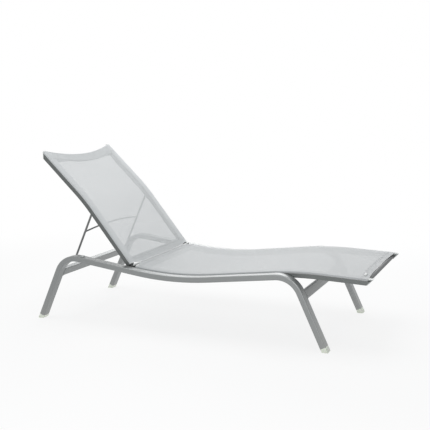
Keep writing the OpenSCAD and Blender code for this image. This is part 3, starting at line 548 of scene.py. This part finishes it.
# Painted light: each hem's colour is set lighter than its sheet's to make up for the shade it lies
# in under the sheet.
back_hem_painted_lighter = cloth_finish("doubled back hem painted lighter", (0.70, 0.72, 0.72), CLOSED)
seat_hem_painted_lighter = cloth_finish("doubled seat hem painted lighter", (0.46, 0.473, 0.478), CLOSED)
stitch_thread = plastic_finish("stitch thread", (0.62, 0.64, 0.64), 0.55, grain_size=0.0003,
                               depth=0.3)
print("cloth:", seat_mesh_painted_darker.name, back_mesh_painted_lighter.name, back_hem_painted_lighter.name, seat_hem_painted_lighter.name)

# %% [markdown]
# The cloth follows the rails, so its shape is a rule and not a sculpture: a path in side
# view, made of straight stretches and arcs, and a section across. These helpers walk
# along such a path. They repeat the CAD's own sizes, in metres.

# %% Paths of the rails
SEAT_PATH = [(-0.329063, 0.293814), (-0.0860463, 0.262535), (0.503632, 0.334054),
             (0.848354, 0.320209)]
SEAT_BENDS = [0, 1.4985, 1.6, 0]
BACK_PATH = [(-0.821979, 0.839558), (-0.584787, 0.61301), (-0.329063, 0.293814)]
BACK_BENDS = [0, 0.9, 0]
BACK_LENGTH = 0.736824


def slope(points, i):
    return math.atan2(points[i + 1][1] - points[i][1], points[i + 1][0] - points[i][0])


def place_on(points, bends, s):
    """Point and heading at a length along a path with rounded corners."""
    for i in range(len(points) - 1):
        a = slope(points, i)
        turn = slope(points, i + 1) - a if i + 2 < len(points) else 0.0
        before = slope(points, i) - slope(points, i - 1) if i else 0.0
        cut_start = bends[i] * math.tan(abs(before) / 2)
        cut_end = bends[i + 1] * math.tan(abs(turn) / 2)
        (x0, z0), (x1, z1) = points[i], points[i + 1]
        length = math.hypot(x1 - x0, z1 - z0) - cut_start - cut_end
        start_x, start_z = x0 + cut_start * math.cos(a), z0 + cut_start * math.sin(a)
        if s <= length or i + 2 == len(points):
            return start_x + s * math.cos(a), start_z + s * math.sin(a), a
        s -= length
        arc = bends[i + 1] * abs(turn)
        if s <= arc:
            bend = math.copysign(bends[i + 1], turn)
            b = a + s / bend
            mid_x = start_x + length * math.cos(a) - bend * math.sin(a)
            mid_z = start_z + length * math.sin(a) + bend * math.cos(a)
            return mid_x + bend * math.sin(b), mid_z - bend * math.cos(b), b
        s -= arc


def on_seat(s):
    return place_on(SEAT_PATH, SEAT_BENDS, s)


def on_back(s):
    """The back's path is measured from the hinge up."""
    return place_on(BACK_PATH, BACK_BENDS, BACK_LENGTH - s)


print("foot end of the seat:", [round(v, 4) for v in on_seat(1.1695)],
      "top of the back:", [round(v, 4) for v in on_back(0.7338)])

# %% [markdown]
# Across, the cloth comes out of the slot in one rail, turns over the rail's round top
# corner, runs straight to the other rail and goes down into its slot. Between the rails
# it sags a few millimetres. The section is a list of points, finer where the cloth turns,
# because a bent strip with too few points would cut through the rail's corner.

# %% Section across the cloth
RAIL_OUT, RAIL_IN = 0.316, 0.282        # outer and inner face of a rail, from the middle
CREST, CORNER = 0.009, 0.005            # height and radius of the rail's round corner
LIP = 0.0082                            # upper lip of the slot in the rail
GAP, CLOTH = 0.0003, 0.0009             # air under the cloth, and its thickness
LIE = RAIL_IN + CORNER                  # from here in, the cloth is free of the rail
IN_SLOT, ON_CREST = (0.3098, 0.3140), (0.3030, 0.2950)
CORNER_TURNS = (18, 36, 54, 72, 90)


def section_across(rise, count=22):
    """Points (across, up, share of the sag) of the cloth, at a height above its underside."""
    half = [(y, LIP - rise, 0.0) for y in (*IN_SLOT, RAIL_OUT + GAP + rise)]
    half.append((RAIL_OUT + GAP + rise, CREST, 0.0))
    r = CORNER + GAP + rise
    half += [(RAIL_OUT - CORNER + r * math.cos(math.radians(t)),
              CREST + r * math.sin(math.radians(t)), 0.0) for t in CORNER_TURNS]
    half += [(y, CREST + r, 0.0) for y in ON_CREST]
    half += [(LIE * k / count, CREST + r, 1 - (k / count) ** 2) for k in range(count, 0, -1)]
    return half + [(0.0, CREST + r, 1.0)] + [(-y, z, w) for y, z, w in reversed(half)]


print("section points:", len(section_across(0.0)))

# %% [markdown]
# A sling's two free ends are cut in a shallow curve, because the pull of the rails would
# make a straight end wavy. At the hinge the seat's cloth is held taut and climbs over a
# rod in its pocket, and at the foot it hangs lower, almost on the spreader. A cloth
# simulation could find this shape, but four borders and a few measures settle it, so a
# rule says where each point of the flat cloth is in space.

# %% Rule of the cloth
SAG_ENDS, SAG_MORE = 0.004, 0.004       # sag at the ends, and what the middle adds
HINGE_EDGE_POWER, FREE_EDGE_POWER = 10, 2
TAUT_OVER, CLIMB_OVER, SETTLE_OVER = 0.06, 0.028, 0.12      # shares of the cloth's length


def fading(share):
    """1 at 0, falling smoothly to 0 at 1."""
    return max(0.0, 1 - share) ** 2


class Cloth:
    """A sling: where a point of the flat cloth is in space."""

    def __init__(self, walk, start, stop, start_curve, stop_curve,
                 mitre=0.0, taut=0.0, climb=0.0, settle=0.0):
        self.walk, self.start, self.stop = walk, start, stop
        self.start_curve, self.stop_curve = start_curve, stop_curve
        self.mitre, self.taut, self.climb, self.settle = mitre, taut, climb, settle

    def ends(self, y):
        """Where the cloth starts and stops at a distance across from its middle."""
        near = max(0.0, 1 - (abs(y) / LIE) ** HINGE_EDGE_POWER)
        far = max(0.0, 1 - (abs(y) / LIE) ** FREE_EDGE_POWER)
        return self.start + self.start_curve * near, self.stop - self.stop_curve * far

    def hang(self, k):
        """Sag at the middle of the span: little over the rod at the hinge, more at the foot."""
        inside = min(max(k, 0.0), 1.0)
        sag = SAG_ENDS + SAG_MORE * math.sin(math.pi * inside)
        held = 1 - self.taut * fading(inside / TAUT_OVER)
        return sag * held + self.settle * fading((1 - k) / SETTLE_OVER)

    def rise(self, k, y):
        """How far the hinge end climbs over the rod in its pocket, between the rails."""
        between = max(0.0, 1 - (y / LIE) ** HINGE_EDGE_POWER)
        return self.climb * between * fading(max(k, 0.0) / CLIMB_OVER)

    def at(self, k, point):
        """The place at a share of the length, for a point of the section, and its length."""
        y, up, w = point
        a, b = self.ends(y)
        s = a + k * (b - a + self.mitre * min(up - (CREST + CORNER), 0.0))
        x, z, turn = self.walk(s)
        h = up - self.hang(k) * w + self.rise(k, y)
        return Vector((x - h * math.sin(turn), y, z + h * math.cos(turn))), s

    def along(self, inset, end, y):
        """The share of the length at a distance in from one end."""
        a, b = self.ends(y)
        return inset / (b - a) if end == 0 else 1 - inset / (b - a)


seat_cloth = Cloth(on_seat, start=0.0251, stop=1.16953, start_curve=-0.0131, stop_curve=0.0165,
                   taut=0.85, climb=0.0055, settle=0.0045)
back_cloth = Cloth(on_back, start=0.01925, stop=0.7455, start_curve=-0.009, stop_curve=0.0385,
                   mitre=0.954)
print("sag at the middle:", round(seat_cloth.hang(0.5), 4), "at the foot:",
      round(seat_cloth.hang(1.0), 4))

# %% [markdown]
# The sheet itself is a grid of quads over that rule. It is one layer thick, since light
# passes the holes of a real mesh in one go, and a second layer would close them. Each
# corner of the grid gets its place on the flat cloth as a map in metres.

# %% Build a sling sheet
def link_piece(name, mesh, *materials):
    piece = bpy.data.objects.new(name, mesh)
    scene.collection.objects.link(piece)
    for m in materials:
        mesh.materials.append(m)
    return piece


def arc_lengths(points):
    """How far along the section each of its points is."""
    total, out = 0.0, [0.0]
    for p, q in zip(points, points[1:]):
        total += math.hypot(q[0] - p[0], q[1] - p[1])
        out.append(total)
    return out


def mapped_mesh(name, rows, maps, faces):
    """A mesh of points in rows, with a place on the flat cloth for each, in metres."""
    mesh = bpy.data.meshes.new(name)
    mesh.from_pydata([p for row in rows for p in row], [], faces)
    layer = mesh.uv_layers.new(name=CLOTH_MAP)
    flat = [q for row in maps for q in row]
    for loop in mesh.loops:
        layer.data[loop.index].uv = flat[loop.vertex_index]
    mesh.polygons.foreach_set("use_smooth", [True] * len(mesh.polygons))
    mesh.update()
    return mesh


def grid_mesh(name, rows, maps, flip=False):
    """An open sheet; flip turns its faces round where its rows run the other way."""
    n, m = len(rows), len(rows[0])
    corners = [(i * m + j, i * m + j + 1, (i + 1) * m + j + 1, (i + 1) * m + j)
               for i in range(n - 1) for j in range(m - 1)]
    faces = [(a, d, c, b) for a, b, c, d in corners] if flip else corners
    return mapped_mesh(name, rows, maps, faces)


def sling_sheet(name, cloth, steps, finish, flip=False):
    """A sling's sheet, and how wide its section is when laid flat."""
    points = section_across(CLOTH / 2)
    spread = arc_lengths(points)
    rows, maps = [], []
    for i in range(steps + 1):
        row = [cloth.at(i / steps, p) for p in points]
        rows.append([q for q, _ in row])
        maps.append([(wide, s) for wide, (_, s) in zip(spread, row)])
    return link_piece(name, grid_mesh(name, rows, maps, flip), finish), spread[-1]


seat_sheet, seat_spread = sling_sheet("seat_sling_sheet", seat_cloth, 260, seat_mesh_painted_darker)
back_sheet, back_spread = sling_sheet("back_sling_sheet", back_cloth, 100, back_mesh_painted_lighter, flip=True)
SHEETS = [(seat_sheet, "frame", "seat_sling"), (back_sheet, "backrest", "back_sling")]
for sheet, body, node in SHEETS:
    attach(sheet, body)
    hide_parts(node)
print("sheets:", len(seat_sheet.data.polygons), len(back_sheet.data.polygons), "quads, cut width",
      round(seat_spread, 3))

# %% [markdown]
# Each free end is turned under and sewn down. The hem could be a thicker strip of the
# sheet, but then its edge would be square. So it is a piece of its own: a flat doubled
# band under the cloth, with a rounded fold at the very end. Over the rails there is only
# room for the cloth's own thickness, so the band gets thin there.

# %% Hems
BAND_STEPS = 8
BAND_UNDER, BAND_UNDER_ON_RAIL = 0.0013, 0.00042        # underside, below the cloth's middle
RAIL_FROM, THIN_OVER = 0.276, 0.004                     # where the band starts to get thin
FOLD_TOP, TUCK = 0.0003, -0.0001                        # top of the fold, and of the band
FOLD_TURNS = (-60, -30, 0, 30, 60)
FOLD_END = [(0.0, FOLD_TOP), (0.0012, 0.0002), (0.0016, TUCK)]


def hem_profile(width, y):
    """Round the hem in side view: (in from the edge, up from the cloth's middle)."""
    on_rail = min(max((abs(y) - RAIL_FROM) / THIN_OVER, 0.0), 1.0)
    under = -BAND_UNDER * (1 - on_rail) - BAND_UNDER_ON_RAIL * on_rail
    mid, radius = (under + FOLD_TOP) / 2, (FOLD_TOP - under) / 2
    insets = [width * part / BAND_STEPS for part in range(BAND_STEPS + 1)]
    fold = [(-radius * math.cos(math.radians(t)), mid + radius * math.sin(math.radians(t)))
            for t in FOLD_TURNS]
    below, above = [(i, under) for i in reversed(insets)], [(i, TUCK) for i in insets[1:]]
    return below + fold + FOLD_END + above


def outward(turn, y, up):
    """Away from the cloth's face: up between the rails, and aside round a rail's corner."""
    past = abs(y) - (RAIL_OUT - CORNER)
    angle = math.atan2(max(up - CREST, 0.0), past) if past > 0 else math.pi / 2
    upright, aside = math.sin(angle), math.copysign(math.cos(angle), y)
    return Vector((-math.sin(turn) * upright, aside, math.cos(turn) * upright))


def closed_tube(name, rings, maps, finish, flat_ends=False):
    """A tube over rings of points, closed at both ends, with its faces outwards."""
    n, m = len(rings), len(rings[0])
    faces = [(j * m + i, j * m + (i + 1) % m, (j + 1) * m + (i + 1) % m, (j + 1) * m + i)
             for j in range(n - 1) for i in range(m)]
    faces += [tuple(range(m)), tuple(range((n - 1) * m, n * m))[::-1]]
    mesh = mapped_mesh(name, rings, maps, faces)
    turned = bmesh.new()
    turned.from_mesh(mesh)
    bmesh.ops.recalc_face_normals(turned, faces=turned.faces)
    turned.to_mesh(mesh)
    turned.free()
    if flat_ends:
        mesh.polygons.foreach_set("use_smooth", [len(f.vertices) == 4 for f in mesh.polygons])
    return link_piece(name, mesh, finish)


def hem(name, cloth, end, width, finish):
    points = section_across(CLOTH / 2)[2:-2]
    rings, maps = [], []
    for (y, up, w), wide in zip(points, arc_lengths(points)):
        ring, flat = [], []
        for inset, rise in hem_profile(width, y):
            q, s = cloth.at(cloth.along(inset, end, y), (y, up, w))
            ring.append(q + outward(cloth.walk(s)[2], y, up) * rise)
            flat.append((wide, s))
        rings.append(ring)
        maps.append(flat)
    return closed_tube(name, rings, maps, finish)


HEMS = [("seat_hinge_hem", seat_cloth, 0, 0.027, "frame"),
        ("seat_foot_hem", seat_cloth, 1, 0.036, "frame"),
        ("back_bottom_hem", back_cloth, 0, 0.030, "backrest"),
        ("back_top_hem", back_cloth, 1, 0.055, "backrest")]
for name, cloth, end, width, body in HEMS:
    piece = hem(name, cloth, end, width, seat_hem_painted_lighter if cloth is seat_cloth else back_hem_painted_lighter)
    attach(piece, body)

# %% [markdown]
# Where the seat meets the backrest, the sling's edge is a sewn pocket with a thin rod in
# it, which keeps the edge straight over the hinge. The pocket ends short of the rails, so
# the pale ends of the rod can be seen. Plain cylinders would end in sharp rims, so both
# are rings of points at each step across, with ends that draw in and are closed.

# %% Pocket and rod at the hinge
ROD_ALONG, ROD_UP = 0.0110, 0.0162                      # the rod's middle, from the seat's path
DRAWN_IN = [(0.0, 0.35), (0.0006, 0.75), (0.0016, 1.0)] # in from the end, share of the radius
ROD_STEPS, RING = 44, 14


def rod_across(name, half, radius, finish):
    """A round bar across the lounger over the hinge, from one side to the other."""
    x, z, turn = on_seat(ROD_ALONG)
    drawn = [(-half + inset, part) for inset, part in DRAWN_IN]
    first, step = drawn[-1][0], -2 * drawn[-1][0] / ROD_STEPS
    places = drawn + [(first + step * i, 1.0) for i in range(1, ROD_STEPS)]
    places += [(-y, part) for y, part in reversed(drawn)]
    angles = [2 * math.pi * i / RING for i in range(RING)]
    rings, maps = [], []
    for y, part in places:
        middle = Vector((x - ROD_UP * math.sin(turn), y, z + ROD_UP * math.cos(turn)))
        rings.append([middle + Vector((math.cos(turn + a), 0, math.sin(turn + a))) * radius * part
                      for a in angles])
        maps.append([(y + LIE, radius * a) for a in angles])
    return closed_tube(name, rings, maps, finish, flat_ends=True)


# The pocket takes the seat hem's colour, painted lighter than the seat's sheet as painted light.
hinge_pocket = rod_across("seat_hinge_pocket", 0.240, 0.0060, seat_hem_painted_lighter)
hinge_rod = rod_across("seat_hinge_rod", 0.312, 0.0055, pale_cap)
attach(hinge_pocket, "frame")
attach(hinge_rod, "frame")
print("pocket and rod:", len(hinge_pocket.data.polygons), len(hinge_rod.data.polygons), "faces")

# %% [markdown]
# Stitches and the drops of a weld both repeat hundreds of times along a line. Copies set
# by hand could not be changed later, so a Geometry Nodes tree sets them out. It walks
# along a line of points, puts a round grain at each step, makes the copies real and gives
# them their finish. What differs, the size of a grain, is added by each use.

# %% Rows of copies
def row_of_copies(name, inputs, segments, rings):
    """A tree that sets grains along a line: the first input is the spacing, the last the finish."""
    tree, start, end = node_group(
        name, "GeometryNodeTree", [("Geometry", "Geometry", None), *inputs],
        [("Geometry", "Geometry")])
    make, given = tree.nodes.new, start.outputs
    curve, points = make("GeometryNodeMeshToCurve"), make("GeometryNodeCurveToPoints")
    points.mode = "LENGTH"
    ball = sockets(make("GeometryNodeMeshUVSphere"), Segments=segments, Rings=rings, Radius=1.0)
    copies, real = make("GeometryNodeInstanceOnPoints"), make("GeometryNodeRealizeInstances")
    finish = make("GeometryNodeSetMaterial")
    wire(tree.links, (given["Geometry"], curve.inputs["Mesh"]),
         (curve.outputs["Curve"], points.inputs["Curve"]),
         (given[inputs[0][0]], points.inputs["Length"]),
         (points.outputs["Points"], copies.inputs["Points"]),
         (points.outputs["Rotation"], copies.inputs["Rotation"]),
         (ball.outputs["Mesh"], copies.inputs["Instance"]),
         (copies.outputs["Instances"], real.inputs["Geometry"]),
         (real.outputs["Geometry"], finish.inputs["Geometry"]),
         (given[inputs[-1][0]], finish.inputs["Material"]),
         (finish.outputs["Geometry"], end.inputs["Geometry"]))
    return tree, given, copies.inputs["Scale"]


def grown(name, lines, tree, values):
    """Runs a tree on lines of points and keeps the result as a plain mesh."""
    verts, edges = [], []
    for line in lines:
        edges += [(i, i + 1) for i in range(len(verts), len(verts) + len(line) - 1)]
        verts += line
    mesh = bpy.data.meshes.new(name + "_lines")
    mesh.from_pydata(verts, edges, [])
    holder = link_piece(name + "_lines", mesh)
    modifier = holder.modifiers.new("grow", "NODES")
    modifier.node_group = tree
    for item in tree.interface.items_tree:
        if item.in_out == "INPUT" and item.name in values:
            modifier[item.identifier] = values[item.name]
    bpy.context.view_layer.update()
    ready = holder.evaluated_get(bpy.context.evaluated_depsgraph_get())
    result = bpy.data.meshes.new_from_object(ready)
    result.name = name
    holder.modifiers.clear()
    bpy.data.objects.remove(holder)
    result.polygons.foreach_set("use_smooth", [True] * len(result.polygons))
    return link_piece(name, result)


print("ready to set copies along lines")

# %% [markdown]
# A stitch is a short bar of thread that dips into the cloth at both ends. Each grain is
# stretched along the line to a stitch's length, and two rows run along each hem, as a
# twin-needle machine sews them: one close to the band's inner edge and one further out.

# %% Sew the hems
run_of_stitches, given, scale = row_of_copies(
    "run of stitches",
    [("Stitch Spacing", "Float", 0.0038), ("Stitch Length", "Float", 0.0028),
     ("Thread Radius", "Float", 0.00035), ("Thread", "Material", None)], 6, 5)
size = run_of_stitches.nodes.new("ShaderNodeCombineXYZ")
half_length = maths(run_of_stitches, "MULTIPLY", given["Stitch Length"], 0.5)
wire(run_of_stitches.links, (given["Thread Radius"], size.inputs["X"]),
     (given["Thread Radius"], size.inputs["Y"]), (half_length, size.inputs["Z"]),
     (size.outputs[0], scale))
STITCH = {"Stitch Spacing": 0.0040, "Stitch Length": 0.0030, "Thread Radius": 0.00036,
          "Thread": stitch_thread}
SEAMS = (0.0035, 0.0095)        # the two rows, from the inner edge of the band
STITCH_RISE, PAST_CORNER = 0.00025, 0.001


def stitch_line(cloth, end, inset):
    """A line on the cloth's top face, from rail to rail, at a distance from one end."""
    points = [p for p in section_across(CLOTH + STITCH_RISE)
              if abs(p[0]) < RAIL_OUT - CORNER + PAST_CORNER and p[1] > CREST + CORNER]
    return [cloth.at(cloth.along(inset, end, p[0]), p)[0] for p in points]


for body, label, parts in (("frame", "seat_hem_stitches", HEMS[:2]),
                           ("backrest", "back_hem_stitches", HEMS[2:])):
    lines = [stitch_line(cloth, end, width - back)
             for _, cloth, end, width, _ in parts for back in SEAMS]
    piece = grown(label, lines, run_of_stitches, STITCH)
    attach(piece, body)

# %% [markdown]
# A small blank tag is sewn on near the foot end, close to the near rail. It stays blank:
# a plain strip of white satin tape, folded once, that stands up as a little loop. A flat
# patch would vanish at the photograph's low angle, so the strip is bent over an arch, and
# Solidify gives it the thickness of tape.

# %% Sewn tag
TAG_AT = (1.150, -0.2380)               # along the seat's path, and across
TAG_WIDE, TAG_DEEP, TAG_HIGH = 0.009, 0.013, 0.010
TAPE_THICK, TAPE_LONG = 0.0004, TAG_DEEP + 1.5 * TAG_HIGH
ARCH = 0.6                              # below 1, the loop's shoulders fill out
STEPS_OVER, STEPS_WIDE = 16, 6


def tag_loop(name, cloth):
    """A strip of tape that goes up from the cloth, over, and down again."""
    s_mid, y_mid = TAG_AT
    k = (s_mid - cloth.start) / (cloth.stop - cloth.start)
    foot, s = cloth.at(k, (y_mid, CREST + CORNER + GAP + CLOTH, 1 - (y_mid / LIE) ** 2))
    turn = cloth.walk(s)[2]
    along = Vector((math.cos(turn), 0, math.sin(turn)))
    up = Vector((-math.sin(turn), 0, math.cos(turn)))
    wide = [(j / STEPS_WIDE - 0.5) * TAG_WIDE for j in range(STEPS_WIDE + 1)]
    rows, maps = [], []
    for i in range(STEPS_OVER + 1):
        t = math.pi * i / STEPS_OVER
        side = Vector((0, -TAG_DEEP / 2 * math.cos(t), 0))
        over = side + up * TAG_HIGH * max(math.sin(t), 0.0) ** ARCH
        rows.append([foot + over + along * v for v in wide])
        maps.append([(v, i / STEPS_OVER * TAPE_LONG) for v in wide])
    return grid_mesh(name, rows, maps)


satin_tape = cloth_finish("satin tape", (0.93, 0.94, 0.93), CLOSED, pitch=0.0005, streak=0.05,
                          deep=0.2)
tag = link_piece("sewn_tag", tag_loop("sewn_tag", seat_cloth), satin_tape)
thicken = tag.modifiers.new("thickness", "SOLIDIFY")
thicken.thickness = TAPE_THICK
thicken.offset = 1.0
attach(tag, "frame")
print("tag from", *(round(f(v.co.z for v in tag.data.vertices), 3) for f in (min, max)), "m up")

# %% [markdown]
# The cross bars are welded between the legs. A hand-laid weld is a row of overlapping
# drops. A smooth fillet would look moulded, so the same kind of tree makes it: it walks
# round the bar's outline and sets a drop at each step, with a fixed seed for the small
# differences in size.

# %% Weld the bars
SMALLEST, LARGEST = 0.82, 1.12          # drops, as shares of the usual size
weld_bead, given, scale = row_of_copies(
    "weld bead",
    [("Drop Spacing", "Float", 0.0016), ("Drop Radius", "Float", 0.0021), ("Seed", "Int", 7),
     ("Metal", "Material", None)], 10, 6)
vary = weld_bead.nodes.new("FunctionNodeRandomValue")
vary.data_type = "FLOAT"
vary.inputs[2].default_value, vary.inputs[3].default_value = SMALLEST, LARGEST
weld_bead.links.new(given["Seed"], vary.inputs["Seed"])
weld_bead.links.new(maths(weld_bead, "MULTIPLY", vary.outputs[1], given["Drop Radius"]), scale)
WELD = {"Drop Spacing": 0.0017, "Drop Radius": 0.0021, "Seed": 11, "Metal": silver_powder_coat}
AROUND, OUTLINE_FROM = 72, 0.0115       # directions looked in, and how far out the outline is
SAME_PLACE, WELD_INSET = 1e-4, 0.0008


def bar_ring(node, y):
    """A closed line round a bar's end: its farthest corner in each direction from its middle."""
    low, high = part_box(node)
    mid_x, mid_z = (low.x + high.x) / 2, (low.z + high.z) / 2
    reach = {}
    for p in (v.co for v in frame["nodes"][node].data.vertices if abs(v.co.y - y) < SAME_PLACE):
        turn = math.atan2(p.z - mid_z, p.x - mid_x) / (2 * math.pi)
        a, d = int(round(turn * AROUND)) % AROUND, math.hypot(p.x - mid_x, p.z - mid_z)
        if d > reach.get(a, (0, None))[0]:
            reach[a] = (d, p)
    inset_y = y - math.copysign(WELD_INSET, y)
    ring = [Vector((p.x, inset_y, p.z)) for _, (d, p) in sorted(reach.items()) if d > OUTLINE_FROM]
    return ring + ring[:1]


for label, node in (("rear_weld_beads", "rear_cross_bar"), ("front_weld_beads", "front_cross_bar")):
    low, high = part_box(node)
    piece = grown(label, [bar_ring(node, y) for y in (low.y, high.y)], weld_bead, WELD)
    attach(piece, "frame")
    print(label, len(piece.data.polygons), "faces")

# %% [markdown]
# Last comes the box round all the pieces that are shown, the floor left out.

# %% Box round the scene
low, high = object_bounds()
